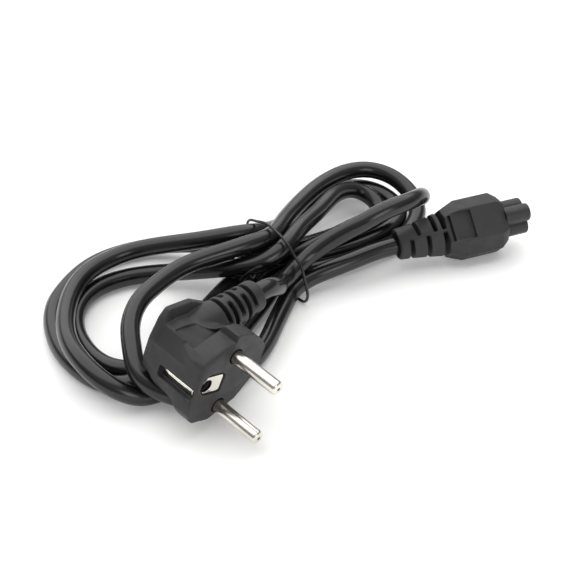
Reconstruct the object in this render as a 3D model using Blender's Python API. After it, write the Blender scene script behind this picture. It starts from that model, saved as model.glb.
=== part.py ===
"""A mains lead tied up in a hank and lying on the floor: an angled earthed plug with two round pins,
a black three-core cord folded into four turns, and a cloverleaf connector, with a wire tie round the middle.
All sizes are in metres, +Z is up and the origin is on the floor under the middle of the plug and connector."""
import math

import bmesh
import bpy
import numpy as np
from mathutils import Matrix, Vector

# Clearance between pieces that touch
GAP = 0.0003

# Plug: X runs along the pins' line, Y towards the near earth clip and Z out of the face
PLUG_PLACE = (-0.0187, -0.0732, 0.0179)
PINS_POINT = (0.713, -0.693, -0.100)
PINS_LINE = (0.335, 0.212, 0.918)
FACE_RADIUS = 0.0177
FACE_FLAT = 0.0141
FACE_LOW = 0.0144
FACE_CORNER = 0.0112
RIM_DEPTH = 0.0060
FLARE_DEPTH = 0.0050
PLUG_DEPTH = 0.0250
WAIST_TOP = 0.0142
WAIST_LOW = 0.0089
WAIST_FAR = 0.0130
GRIP_THICKNESS = 0.0040
GRIP_RISE = 0.0034
GUIDE_WIDTH = 0.0060
GUIDE_DEPTH = 0.0030
GUIDE_LENGTH = 0.0072

# Pins
PIN_SPACING = 0.0190
PIN_DIAMETER = 0.0048
PIN_LENGTH = 0.0190
PIN_SEAT = 0.0080
PIN_ROUNDING = 0.0014

# Earth contacts
CLIP_WIDTH = 0.0046
CLIP_THICKNESS = 0.0008
CLIP_LENGTH = 0.0140
CLIP_SHIFT = 0.0020
CLIP_FRONT = 0.0026
RECESS_MARGIN = 0.0014
RECESS_DEPTH = 0.0018
EARTH_HOLE = 0.0044
EARTH_HOLE_OFFSET = 0.0094
EARTH_HOLE_DEPTH = 0.0160
PLATE_REACH = 0.0060
PLATE_THICKNESS = 0.0010
PLATE_SINK = 0.0004

# Plug's strain relief, in the plug's own axes
RELIEF_START = (0.0060, 0.0020, -0.0190)
RELIEF_END = (0.0178, -0.0260, -0.0186)
RELIEF_ROOT_DIAMETER = 0.0134
RELIEF_END_DIAMETER = 0.0106

# Connector: X runs out of the boot to the nose, and its earth side is rolled up towards +Z
CONNECTOR_PLACE = (0.0428, 0.0124, 0.0100)
CONNECTOR_HEADING = math.radians(17.8)
CONNECTOR_PITCH = math.radians(2.9)
CONNECTOR_ROLL = math.radians(48)
BOOT_LENGTH = 0.0190
BOOT_END_DIAMETER = 0.0104
BOOT_ROOT_DIAMETER = 0.0124
BODY_LENGTH = 0.0260
BODY_SHOULDER = 0.0080
BODY_WIDTH = 0.0226
BODY_REAR_WIDTH = 0.0164
BODY_THICKNESS = 0.0155
EARTH_SIDE_WIDTH = 0.0120
BODY_CHAMFER = 0.0028
PANEL_LENGTH = 0.0085
PANEL_WIDTH = 0.0090
PANEL_SINK = 0.0005
NOSE_LENGTH = 0.0080
LOBE_DIAMETER = 0.0070
LOBE_SPACING = 0.0074
EARTH_LOBE_OFFSET = 0.0054
CONTACT_HOLE = 0.0025
CONTACT_DEPTH = 0.0070

# Cord
CORD_DIAMETER = 0.0068
CORD_SECTIONS = 84

# Wire tie
TIE_PLACE = (-0.002, 0.0)
TIE_FRONT = (0.61, -0.79)
TIE_THICKNESS = 0.0011

# The cord's way from the connector to the plug, in millimetres: nine passes through the tie
ROUTE = [
    (42, 12, 9.5), (34.5, 8.8, 9.2), (23.8, 3.3, 8.2), (13, -1.8, 6.8), (4, -8.5, 5.4),
    (-0.3, -17, 3.8), (-4, -29, 3.6), (-7.5, -40, 3.6), (-13.5, -51, 3.6),
    (-20.8, -60.8, 3.6), (-30, -67, 4.6), (-39.5, -68.3, 8.4), (-47.8, -64.8, 12.5), (-51, -56.5, 16.3),
    (-52.5, -46, 18.5), (-50.8, -35, 19.5), (-46, -25, 19.2), (-36.5, -13.5, 19.2), (-23, -6.5, 20.2),
    (-13, -1.5, 20.6), (-5.5, 5, 19.4),
    (-1, 15.5, 18), (2.5, 25, 16.7), (7.5, 35.5, 15.8), (14.5, 47, 15), (24, 56.5, 14.5), (34, 60.5, 13.6),
    (43, 59, 11.8), (50, 53.5, 9), (54, 44.5, 5.6), (51.3, 34, 3.7),
    (44.5, 24, 3.6), (31, 14.5, 3.6), (19, 8.2, 3.6), (8, 4.2, 3.9), (-1, -2.5, 4.9),
    (-8, -14.5, 3.8), (-14.5, -28, 3.6), (-22, -42, 3.6), (-31.5, -54, 3.6), (-40, -61.5, 3.6),
    (-47, -66, 4.6), (-53.5, -67.5, 7.7), (-60.5, -65.3, 11), (-67.5, -59, 13.2), (-74, -47.5, 13),
    (-77.5, -31, 11.6), (-76.5, -14.5, 10.9), (-71, -3, 10.8), (-59.5, 5.5, 11.4), (-46.5, 7, 13.7),
    (-32, 6, 16.8), (-18, 7.5, 18.5), (-9, 13.5, 15.6),
    (-4, 22, 11), (0.8, 32, 7), (6.5, 43, 4.8), (15.5, 54.5, 4.5), (27.5, 59.5, 5.5), (37.5, 57, 5.5),
    (44.5, 50, 4.6), (46.3, 41, 4), (41, 31.5, 3.6),
    (31, 22.8, 3.6), (17, 15.8, 3.6), (5, 10.5, 3.9), (-5.5, 4, 4.9),
    (-14, -9, 3.9), (-21.5, -24.5, 3.6), (-27.5, -35.5, 3.6), (-37.5, -46, 3.6),
    (-49, -51.5, 3.6), (-56.7, -51.6, 3.6), (-63.5, -48.5, 3.6), (-70.5, -40.5, 3.8), (-75.3, -29, 3.8),
    (-75.5, -17, 3.8), (-70.3, -6.6, 3.7), (-60, -0.2, 3.8), (-48.4, 1, 4.9), (-36, -1.5, 7.8),
    (-21, -5.5, 12.3), (-10, -5.8, 14.8), (-1.5, -1.2, 17.6),
    (5.2, 11.5, 17.8), (12.5, 26, 15.8), (18, 37, 14.8), (22.8, 44.8, 13), (29.3, 49.6, 10.4),
    (35.6, 47.8, 7.6), (38.5, 42, 5.3), (35.6, 36, 3.9),
    (28.5, 32, 3.6), (20, 27.5, 3.6), (11, 22.5, 3.6), (1.5, 18, 3.9), (-9.5, 10.5, 4.9),
    (-18.5, -1.5, 4.6), (-25, -17.5, 7.6), (-31, -34, 11), (-38.2, -48, 11), (-45.5, -57, 7),
    (-54.5, -60, 4.1), (-64.5, -57.2, 4), (-74, -49, 4.8), (-81, -36.5, 4), (-84.6, -20, 3.7),
    (-82.2, -7, 3.6), (-75.5, 6, 3.6), (-65.5, 14.6, 3.6), (-50.5, 19, 4.6), (-35, 16.3, 7.4),
    (-21, 9.3, 11), (-11.5, 4.3, 12), (-3, 3, 11.6),
    (5, 6.5, 11.2), (14, 12.8, 10.8), (26, 22.5, 11), (35.5, 29.5, 11.3),
    (43.5, 32.8, 13.4), (49.8, 31, 18), (52.4, 25, 23.8), (50.5, 17.3, 28.6), (45, 10.3, 30.9),
    (37, 5.5, 30.6), (29.5, 2.5, 27.8), (22, 1.5, 23.5), (13.5, 0.3, 17.8), (6.5, -3.3, 13.8), (1, -10, 12),
    (-2.6, -18, 14), (-2.5, -25.8, 19.6), (-4.2, -32, 24.3), (-6.7, -35.3, 26), (-9.5, -38.1, 26.1),
]

# The tie's way round the bundle, in millimetres: towards the front of the bundle, and up
TIE_LOOP = [
    (0, 0.65), (12.2, 0.6), (15.6, 1.9), (17, 5.2), (16.4, 8.5), (14.7, 13), (12.8, 16.6), (9.2, 18.9),
    (4.8, 22), (0, 23.4), (-6, 24.2), (-9.8, 23.6), (-15.2, 21.4), (-19, 19.6), (-20.6, 16), (-19.8, 12),
    (-17.9, 7), (-17.4, 3.4), (-15.6, 0.9), (-12.5, 0.55),
]


def clear_scene():
    for obj in list(bpy.data.objects):
        bpy.data.objects.remove(obj, do_unlink=True)


def make_material(name, colour, roughness, metallic=0.0):
    material = bpy.data.materials.new(name)
    material.use_nodes = True
    shader = material.node_tree.nodes["Principled BSDF"]
    shader.inputs["Base Color"].default_value = (*colour, 1.0)
    shader.inputs["Roughness"].default_value = roughness
    shader.inputs["Metallic"].default_value = metallic
    return material


def add_object(name, bm, frame, material=None):
    bmesh.ops.recalc_face_normals(bm, faces=bm.faces)
    mesh = bpy.data.meshes.new(name)
    bm.to_mesh(mesh)
    bm.free()
    mesh.shade_smooth()
    mesh.set_sharp_from_angle(angle=math.radians(30))
    obj = bpy.data.objects.new(name, mesh)
    bpy.context.scene.collection.objects.link(obj)
    obj.matrix_world = frame
    if material:
        mesh.materials.append(material)
    else:
        obj.hide_render = True
        obj.display_type = "WIRE"
    return obj


def hull(points):
    bm = bmesh.new()
    for point in points:
        bm.verts.new(point)
    made = bmesh.ops.convex_hull(bm, input=bm.verts)
    spare = {item for key in ("geom_interior", "geom_unused") for item in made[key]}
    bmesh.ops.delete(bm, geom=[v for v in spare if isinstance(v, bmesh.types.BMVert)], context="VERTS")
    bmesh.ops.dissolve_limit(bm, angle_limit=math.radians(0.5), verts=bm.verts, edges=bm.edges)
    return bm


def prism(outline, low, high):
    """A solid with the given X, Y outline between two heights."""
    bm = bmesh.new()
    base = bm.faces.new([bm.verts.new((x, y, low)) for x, y in outline])
    raised = bmesh.ops.extrude_face_region(bm, geom=[base])
    moved = [item for item in raised["geom"] if isinstance(item, bmesh.types.BMVert)]
    bmesh.ops.translate(bm, verts=moved, vec=(0, 0, high - low))
    return bm


def rod(start, end, start_diameter, end_diameter, sides=32):
    """A round bar, tapered if its diameters differ, between two points."""
    start, end = Vector(start), Vector(end)
    bm = bmesh.new()
    turn = (end - start).to_track_quat("Z", "Y").to_matrix().to_4x4()
    bmesh.ops.create_cone(
        bm,
        cap_ends=True,
        segments=sides,
        radius1=start_diameter / 2,
        radius2=end_diameter / 2,
        depth=(end - start).length,
        matrix=Matrix.Translation((start + end) / 2) @ turn,
    )
    return bm


def block(low, high):
    corners = [(x, y, z) for x in (low[0], high[0]) for y in (low[1], high[1]) for z in (low[2], high[2])]
    return hull(corners)


def combine(target, operation, bm, frame):
    """Join another solid to the target, or cut it out."""
    tool = add_object(f"{target.name}_{operation.lower()}", bm, frame)
    modifier = target.modifiers.new(operation.title(), "BOOLEAN")
    modifier.operation = operation
    modifier.solver = "EXACT"
    modifier.object = tool


def clipped_disc(radius, flats, steps=72):
    """A circle's outline cut by straight flats, each given as its direction in degrees and its distance."""
    outline = [
        (radius * math.cos(2 * math.pi * k / steps), radius * math.sin(2 * math.pi * k / steps))
        for k in range(steps)
    ]
    for angle, distance in flats:
        nx, ny = math.cos(math.radians(angle)), math.sin(math.radians(angle))
        kept = []
        for (ax, ay), (bx, by) in zip(outline, outline[1:] + outline[:1]):
            a, b = ax * nx + ay * ny - distance, bx * nx + by * ny - distance
            if a <= 0:
                kept.append((ax, ay))
            if (a < 0 < b) or (b < 0 < a):
                share = a / (a - b)
                kept.append((ax + share * (bx - ax), ay + share * (by - ay)))
        outline = kept
    return outline


def smooth_curve(points, steps):
    """A natural cubic spline through the points, read at the given number of places per span."""
    points = np.array(points, float)
    spans = np.sqrt(np.linalg.norm(np.diff(points, axis=0), axis=1))
    count = len(points)
    system = np.eye(count)
    target = np.zeros((count, 3))
    for k in range(1, count - 1):
        before, after = spans[k - 1], spans[k]
        system[k, k - 1 : k + 2] = before, 2 * (before + after), after
        rise = (points[k + 1] - points[k]) / after - (points[k] - points[k - 1]) / before
        target[k] = 6 * rise
    bends = np.linalg.solve(system, target)
    line = []
    for k in range(count - 1):
        span = spans[k]
        for share in np.arange(steps) / steps:
            a, b = 1 - share, share
            line.append(
                a * points[k]
                + b * points[k + 1]
                + ((a**3 - a) * bends[k] + (b**3 - b) * bends[k + 1]) * span**2 / 6
            )
    line.append(points[-1])
    return np.array(line)


def spread_points(line, count, bend_weight):
    """Points along a line, closer together where it bends."""
    steps = np.linalg.norm(np.diff(line, axis=0), axis=1)
    ways = np.diff(line, axis=0) / steps[:, None]
    turns = np.zeros(len(steps))
    turns[1:] = np.linalg.norm(np.diff(ways, axis=0), axis=1) / steps[1:]
    width = 15
    turns = np.convolve(turns, np.ones(width) / width, mode="same")
    weight = steps * (1 + bend_weight * np.sqrt(turns))
    total = np.concatenate([[0], np.cumsum(weight)])
    places = np.linspace(0, total[-1], count)
    return np.stack([np.interp(places, total, line[:, k]) for k in range(3)], 1)


def tube(name, points, diameter, sides, material, closed=False):
    curve = bpy.data.curves.new(name, "CURVE")
    curve.dimensions = "3D"
    curve.bevel_depth = diameter / 2
    curve.bevel_resolution = sides // 2 - 2
    curve.use_fill_caps = not closed
    spline = curve.splines.new("POLY")
    spline.points.add(len(points) - 1)
    for spot, point in zip(spline.points, points):
        spot.co = (*point, 1.0)
    spline.use_cyclic_u = closed
    spline.use_smooth = True
    curve.materials.append(material)
    obj = bpy.data.objects.new(name, curve)
    bpy.context.scene.collection.objects.link(obj)
    return obj


def axes(place, x, y, z):
    frame = Matrix((x, y, z)).transposed().to_4x4()
    frame.translation = place
    return frame


def plug_frame():
    z = Vector(PINS_POINT).normalized()
    x = Vector(PINS_LINE)
    x = (x - z * x.dot(z)).normalized()
    return axes(Vector(PLUG_PLACE), x, z.cross(x), z)


def connector_frame():
    """X out of the boot, Y across the two upper lobes and Z out of the earth side."""
    turn = Matrix.Rotation(CONNECTOR_HEADING, 4, "Z") @ Matrix.Rotation(-CONNECTOR_PITCH, 4, "Y")
    roll = Matrix.Rotation(math.pi / 2 - CONNECTOR_ROLL, 4, "X")
    return Matrix.Translation(CONNECTOR_PLACE) @ turn @ roll


def make_plug(frame, pvc):
    flats = [
        (90, FACE_FLAT),
        (-90, FACE_FLAT),
        (180, FACE_LOW),
        (-125, FACE_CORNER),
        (-150, FACE_CORNER),
    ]
    rim = clipped_disc(FACE_RADIUS, flats)
    waist = [
        (-WAIST_LOW, 0.78 * FACE_FLAT),
        (-0.7 * WAIST_LOW, 0.98 * FACE_FLAT),
        (0.28 * WAIST_TOP, FACE_FLAT),
        (0.74 * WAIST_TOP, 0.88 * FACE_FLAT),
        (WAIST_TOP, 0.2 * FACE_FLAT),
        (0.88 * WAIST_TOP, -0.62 * WAIST_FAR),
        (0.42 * WAIST_TOP, -WAIST_FAR),
        (-0.42 * WAIST_LOW, -WAIST_FAR),
        (-WAIST_LOW, -0.65 * WAIST_FAR),
    ]
    grip_top = WAIST_TOP + GRIP_RISE
    grip = [
        (-WAIST_LOW - 0.0001, 0.82 * FACE_FLAT),
        (0.88 * grip_top, 0.82 * FACE_FLAT),
        (grip_top, 0.14 * FACE_FLAT),
        (0.94 * grip_top, -0.46 * WAIST_FAR),
        (0.57 * grip_top, -0.98 * WAIST_FAR),
        (-0.42 * WAIST_LOW, -0.98 * WAIST_FAR),
        (-WAIST_LOW - 0.0001, -0.63 * WAIST_FAR),
    ]
    body = add_object("plug_body", prism(waist, -PLUG_DEPTH + 0.0002, -0.6 * RIM_DEPTH), frame, pvc)
    flare_back = [(0.97 * x, 0.97 * y, -RIM_DEPTH - FLARE_DEPTH) for x, y in waist]
    rim_points = [(x, y, z) for x, y in rim for z in (-RIM_DEPTH, 0)]
    combine(body, "UNION", hull(flare_back + rim_points), frame)
    combine(body, "UNION", prism(grip, -PLUG_DEPTH, -PLUG_DEPTH + GRIP_THICKNESS), frame)
    relief = rod(RELIEF_START, RELIEF_END, RELIEF_ROOT_DIAMETER, RELIEF_END_DIAMETER)
    combine(body, "UNION", relief, frame)

    for side in (1, -1):
        reach = FACE_RADIUS if side > 0 else FACE_LOW
        edges = sorted((side * (reach - GUIDE_DEPTH), side * (reach + 0.004)))
        half = GUIDE_WIDTH / 2
        guide = block((edges[0], -half, -GUIDE_LENGTH), (edges[1], half, 0.002))
        combine(body, "DIFFERENCE", guide, frame)

    for side in (1, -1):
        recess = clip_block(side, FACE_FLAT - RECESS_DEPTH, FACE_FLAT + 0.004, RECESS_MARGIN)
        combine(body, "DIFFERENCE", recess, frame)

    for side in (1, -1):
        spot = side * PIN_SPACING / 2
        bore = PIN_DIAMETER + 2 * GAP
        seat = rod((spot, 0, -PIN_SEAT - GAP), (spot, 0, 0.002), bore, bore)
        combine(body, "DIFFERENCE", seat, frame)

    pocket = prism(plate_outline(GAP), -PLATE_SINK - PLATE_THICKNESS - GAP, 0.002)
    combine(body, "DIFFERENCE", pocket, frame)
    well = rod((0, EARTH_HOLE_OFFSET, -EARTH_HOLE_DEPTH), (0, EARTH_HOLE_OFFSET, 0.002), EARTH_HOLE, EARTH_HOLE)
    combine(body, "DIFFERENCE", well, frame)
    return body


def clip_block(side, low, high, margin):
    """A block over an earth clip on one side of the plug, larger than the clip by a margin."""
    near, far = sorted((side * low, side * high))
    half = CLIP_WIDTH / 2 + margin
    return block(
        (-CLIP_SHIFT - half, near, -CLIP_FRONT - CLIP_LENGTH - margin),
        (-CLIP_SHIFT + half, far, -CLIP_FRONT + min(margin, 0.6 * CLIP_FRONT)),
    )


def plate_outline(margin):
    """The earth plate: a square on its corner, cut short towards the near clip."""
    reach = PLATE_REACH + margin
    top = EARTH_HOLE_OFFSET + 0.45 * PLATE_REACH + margin
    side = top - EARTH_HOLE_OFFSET + 0.001
    return [
        (0, EARTH_HOLE_OFFSET - reach),
        (reach, EARTH_HOLE_OFFSET),
        (reach - side, top),
        (side - reach, top),
        (-reach, EARTH_HOLE_OFFSET),
    ]


def make_earth_contacts(frame, nickel):
    floor = FACE_FLAT - RECESS_DEPTH + GAP
    for side, name in ((1, "earth_clip_near"), (-1, "earth_clip_far")):
        add_object(name, clip_block(side, floor, floor + CLIP_THICKNESS, 0), frame, nickel)
    low = -PLATE_SINK - PLATE_THICKNESS
    plate = add_object("earth_plate", prism(plate_outline(0), low, -PLATE_SINK), frame, nickel)
    hole = rod((0, EARTH_HOLE_OFFSET, low - 0.001), (0, EARTH_HOLE_OFFSET, 0.001), EARTH_HOLE, EARTH_HOLE)
    combine(plate, "DIFFERENCE", hole, frame)


def turned(profile, steps=32):
    """A solid turned about Z from a profile of radius and height, both ends on the axis."""
    bm = bmesh.new()
    spots = [bm.verts.new((radius, 0, height)) for radius, height in profile]
    edges = [bm.edges.new(pair) for pair in zip(spots, spots[1:])]
    bmesh.ops.spin(
        bm, geom=spots + edges, cent=(0, 0, 0), axis=(0, 0, 1), angle=2 * math.pi, steps=steps, use_merge=True
    )
    bmesh.ops.remove_doubles(bm, verts=bm.verts, dist=0.000001)
    return bm


def make_pins(frame, nickel):
    radius = PIN_DIAMETER / 2
    tip = [
        (radius - PIN_ROUNDING * (1 - math.cos(t)), PIN_LENGTH - PIN_ROUNDING * (1 - math.sin(t)))
        for t in (math.pi / 2 * k / 5 for k in range(6))
    ]
    profile = [(0, -PIN_SEAT), (radius, -PIN_SEAT), *tip, (0, PIN_LENGTH)]
    for side, name in ((1, "pin_upper"), (-1, "pin_lower")):
        spot = frame @ Matrix.Translation((side * PIN_SPACING / 2, 0, 0))
        add_object(name, turned(profile), spot, nickel)


def connector_outline(width, thickness):
    """Section of the connector's body: broad towards the two upper lobes, narrow at the earth side."""
    half, side = width / 2, EARTH_SIDE_WIDTH / 2 * width / BODY_WIDTH
    low, high = -0.48 * thickness, 0.52 * thickness
    slope = high - (half - side)
    return [
        (-half + BODY_CHAMFER, low),
        (half - BODY_CHAMFER, low),
        (half, low + BODY_CHAMFER),
        (half, slope),
        (side, high),
        (-side, high),
        (-half, slope),
        (-half, low + BODY_CHAMFER),
    ]


def make_connector(frame, pvc):
    rear = connector_outline(BODY_REAR_WIDTH, 0.88 * BODY_THICKNESS)
    full = connector_outline(BODY_WIDTH, BODY_THICKNESS)
    shoulder, front = BOOT_LENGTH + BODY_SHOULDER, BOOT_LENGTH + BODY_LENGTH
    points = [(BOOT_LENGTH, y, z) for y, z in rear]
    points += [(x, y, z) for x in (shoulder, front) for y, z in full]
    body = add_object("connector_body", hull(points), frame, pvc)
    boot = rod((0, 0, 0), (BOOT_LENGTH + 0.003, 0, 0), BOOT_END_DIAMETER, BOOT_ROOT_DIAMETER)
    combine(body, "UNION", boot, frame)
    top = 0.52 * BODY_THICKNESS
    middle = shoulder + 0.001 + PANEL_LENGTH / 2
    panel = block(
        (middle - PANEL_LENGTH / 2, -PANEL_WIDTH / 2, top - PANEL_SINK),
        (middle + PANEL_LENGTH / 2, PANEL_WIDTH / 2, top + 0.002),
    )
    combine(body, "DIFFERENCE", panel, frame)


def make_nose(frame, plastic):
    start = BOOT_LENGTH + BODY_LENGTH + GAP
    end = start + NOSE_LENGTH
    lobes = [(LOBE_SPACING / 2, 0), (-LOBE_SPACING / 2, 0), (0, EARTH_LOBE_OFFSET)]
    nose = None
    for y, z in lobes:
        lobe = rod((start, y, z), (end, y, z), LOBE_DIAMETER, LOBE_DIAMETER)
        if nose is None:
            nose = add_object("connector_nose", lobe, frame, plastic)
        else:
            combine(nose, "UNION", lobe, frame)
    for y, z in lobes:
        hole = rod((end - CONTACT_DEPTH, y, z), (end + 0.001, y, z), CONTACT_HOLE, CONTACT_HOLE, sides=16)
        combine(nose, "DIFFERENCE", hole, frame)


def make_cord(material):
    steps = 12
    line = smooth_curve([[0.001 * value for value in point] for point in ROUTE], steps)
    # The first and last spans stay straight, square to the boot and to the strain relief
    middle = spread_points(line[steps:-steps], CORD_SECTIONS - 2, 0.15)
    return tube("cord", [line[0], *middle, line[-1]], CORD_DIAMETER, 8, material)


def make_tie(material):
    points = []
    for front, up in TIE_LOOP:
        x = TIE_PLACE[0] + 0.001 * front * TIE_FRONT[0]
        y = TIE_PLACE[1] + 0.001 * front * TIE_FRONT[1]
        points.append((x, y, 0.001 * up))
    return tube("wire_tie", points, TIE_THICKNESS, 8, material, closed=True)


def bounds(objects):
    """The lowest and highest corners of what the objects' modifiers make."""
    depsgraph = bpy.context.evaluated_depsgraph_get()
    spots = []
    for obj in objects:
        shape = obj.evaluated_get(depsgraph)
        mesh = shape.to_mesh()
        spots += [obj.matrix_world @ vertex.co for vertex in mesh.vertices]
        shape.to_mesh_clear()
    return [min(s[k] for s in spots) for k in range(3)], [max(s[k] for s in spots) for k in range(3)]


def main():
    clear_scene()
    pvc = make_material("black_pvc", (0.022, 0.022, 0.024), 0.55)
    sheath = make_material("cord_sheath", (0.012, 0.012, 0.013), 0.35)
    nickel = make_material("nickel_plate", (0.78, 0.76, 0.72), 0.22, 1.0)
    plastic = make_material("nose_plastic", (0.020, 0.020, 0.022), 0.45)
    wire = make_material("tie_coating", (0.010, 0.010, 0.010), 0.40)
    plug, connector = plug_frame(), connector_frame()
    make_plug(plug, pvc)
    make_pins(plug, nickel)
    make_earth_contacts(plug, nickel)
    make_connector(connector, pvc)
    make_nose(connector, plastic)
    make_cord(sheath)
    make_tie(wire)

    # The whole lead is set down with its origin under the middle of what the cord joins
    bpy.context.view_layer.update()
    shown = [obj for obj in bpy.data.objects if not obj.hide_render]
    low, high = bounds([obj for obj in shown if obj.name != "cord"])
    floor = bounds(shown)[0][2]
    stand = bpy.data.objects.new("lead", None)
    bpy.context.scene.collection.objects.link(stand)
    for obj in list(bpy.data.objects):
        if obj is not stand:
            obj.parent = stand
    stand.location = (-(low[0] + high[0]) / 2, -(low[1] + high[1]) / 2, -floor)


main()
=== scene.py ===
"""A mains lead tied up in a hank: an angled earthed plug, a black cord and a cloverleaf connector."""
import math

import bmesh
import bpy
import numpy as np
from bpy.props import FloatProperty, FloatVectorProperty, PointerProperty
from mathutils import Matrix, Vector


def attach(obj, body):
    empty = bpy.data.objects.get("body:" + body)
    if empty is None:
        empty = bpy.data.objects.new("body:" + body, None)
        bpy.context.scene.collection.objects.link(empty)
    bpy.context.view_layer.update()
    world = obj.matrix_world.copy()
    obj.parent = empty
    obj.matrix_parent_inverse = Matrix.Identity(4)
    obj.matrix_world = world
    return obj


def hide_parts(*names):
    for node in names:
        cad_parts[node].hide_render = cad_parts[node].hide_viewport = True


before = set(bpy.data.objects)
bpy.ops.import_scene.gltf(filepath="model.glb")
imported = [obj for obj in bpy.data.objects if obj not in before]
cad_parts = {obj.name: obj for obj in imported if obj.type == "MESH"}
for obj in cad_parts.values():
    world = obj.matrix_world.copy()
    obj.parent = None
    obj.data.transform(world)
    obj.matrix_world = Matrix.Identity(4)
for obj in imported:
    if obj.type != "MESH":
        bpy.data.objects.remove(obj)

bl_info = {
    "name": "Cloverleaf power cord",
    "version": (1, 0, 0),
    "blender": (4, 5, 0),
    "location": "3D View > Sidebar > Lead",
    "description": "Dresses a mains lead's plug, cord, connector and tie in moulded and plated finishes",
    "category": "Object",
}

# Where the lead is set down on the floor, in metres
SET_DOWN = (-0.02427, 0.02625, 0.0)

# Millimetres in a metre
MM = 1000

# The camera: how far it stands back from the lead's middle, how high, its turn up from straight down,
# and its lens
CAMERA_BACK = 0.34558
CAMERA_HEIGHT = 0.270
CAMERA_TURN = math.radians(52)
CAMERA_LENS_MM = 72.63

# The plug's face, and the ways out of the face and along the line of the pins
PLUG_PLACE = (-0.0187, -0.0732, 0.0179)
PINS_POINT = (0.713, -0.693, -0.100)
PINS_LINE = (0.335, 0.212, 0.918)

# The cord end of the connector's boot, and how the connector lies
CONNECTOR_PLACE = (0.0428, 0.0124, 0.0100)
CONNECTOR_HEADING = math.radians(17.8)
CONNECTOR_PITCH = math.radians(2.9)
CONNECTOR_ROLL = math.radians(48)

# The strain relief's axis in the plug's own axes, in millimetres
RELIEF_START = (6.0, 2.0, -19.0)
RELIEF_END = (17.8, -26.0, -18.6)

# The cord's way from the connector to the plug, in millimetres: nine passes through the tie
ROUTE = [
    (42, 12, 9.5), (34.5, 8.8, 9.2), (23.8, 3.3, 8.2), (13, -1.8, 6.8), (4, -8.5, 5.4),
    (-0.3, -17, 3.8), (-4, -29, 3.6), (-7.5, -40, 3.6), (-13.5, -51, 3.6),
    (-20.8, -60.8, 3.6), (-30, -67, 4.6), (-39.5, -68.3, 8.4), (-47.8, -64.8, 12.5), (-51, -56.5, 16.3),
    (-52.5, -46, 18.5), (-50.8, -35, 19.5), (-46, -25, 19.2), (-36.5, -13.5, 19.2), (-23, -6.5, 20.2),
    (-13, -1.5, 20.6), (-5.5, 5, 19.4),
    (-1, 15.5, 18), (2.5, 25, 16.7), (7.5, 35.5, 15.8), (14.5, 47, 15), (24, 56.5, 14.5), (34, 60.5, 13.6),
    (43, 59, 11.8), (50, 53.5, 9), (54, 44.5, 5.6), (51.3, 34, 3.7),
    (44.5, 24, 3.6), (31, 14.5, 3.6), (19, 8.2, 3.6), (8, 4.2, 3.9), (-1, -2.5, 4.9),
    (-8, -14.5, 3.8), (-14.5, -28, 3.6), (-22, -42, 3.6), (-31.5, -54, 3.6), (-40, -61.5, 3.6),
    (-47, -66, 4.6), (-53.5, -67.5, 7.7), (-60.5, -65.3, 11), (-67.5, -59, 13.2), (-74, -47.5, 13),
    (-77.5, -31, 11.6), (-76.5, -14.5, 10.9), (-71, -3, 10.8), (-59.5, 5.5, 11.4), (-46.5, 7, 13.7),
    (-32, 6, 16.8), (-18, 7.5, 18.5), (-9, 13.5, 15.6),
    (-4, 22, 11), (0.8, 32, 7), (6.5, 43, 4.8), (15.5, 54.5, 4.5), (27.5, 59.5, 5.5), (37.5, 57, 5.5),
    (44.5, 50, 4.6), (46.3, 41, 4), (41, 31.5, 3.6),
    (31, 22.8, 3.6), (17, 15.8, 3.6), (5, 10.5, 3.9), (-5.5, 4, 4.9),
    (-14, -9, 3.9), (-21.5, -24.5, 3.6), (-27.5, -35.5, 3.6), (-37.5, -46, 3.6),
    (-49, -51.5, 3.6), (-56.7, -51.6, 3.6), (-63.5, -48.5, 3.6), (-70.5, -40.5, 3.8), (-75.3, -29, 3.8),
    (-75.5, -17, 3.8), (-70.3, -6.6, 3.7), (-60, -0.2, 3.8), (-48.4, 1, 4.9), (-36, -1.5, 7.8),
    (-21, -5.5, 12.3), (-10, -5.8, 14.8), (-1.5, -1.2, 17.6),
    (5.2, 11.5, 17.8), (12.5, 26, 15.8), (18, 37, 14.8), (22.8, 44.8, 13), (29.3, 49.6, 10.4),
    (35.6, 47.8, 7.6), (38.5, 42, 5.3), (35.6, 36, 3.9),
    (28.5, 32, 3.6), (20, 27.5, 3.6), (11, 22.5, 3.6), (1.5, 18, 3.9), (-9.5, 10.5, 4.9),
    (-18.5, -1.5, 4.6), (-25, -17.5, 7.6), (-31, -34, 11), (-38.2, -48, 11), (-45.5, -57, 7),
    (-54.5, -60, 4.1), (-64.5, -57.2, 4), (-74, -49, 4.8), (-81, -36.5, 4), (-84.6, -20, 3.7),
    (-82.2, -7, 3.6), (-75.5, 6, 3.6), (-65.5, 14.6, 3.6), (-50.5, 19, 4.6), (-35, 16.3, 7.4),
    (-21, 9.3, 11), (-11.5, 4.3, 12), (-3, 3, 11.6),
    (5, 6.5, 11.2), (14, 12.8, 10.8), (26, 22.5, 11), (35.5, 29.5, 11.3),
    (43.5, 32.8, 13.4), (49.8, 31, 18), (52.4, 25, 23.8), (50.5, 17.3, 28.6), (45, 10.3, 30.9),
    (37, 5.5, 30.6), (29.5, 2.5, 27.8), (22, 1.5, 23.5), (13.5, 0.3, 17.8), (6.5, -3.3, 13.8), (1, -10, 12),
    (-2.6, -18, 14), (-2.5, -25.8, 19.6), (-4.2, -32, 24.3), (-6.7, -35.3, 26), (-9.5, -38.1, 26.1),
]

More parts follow.
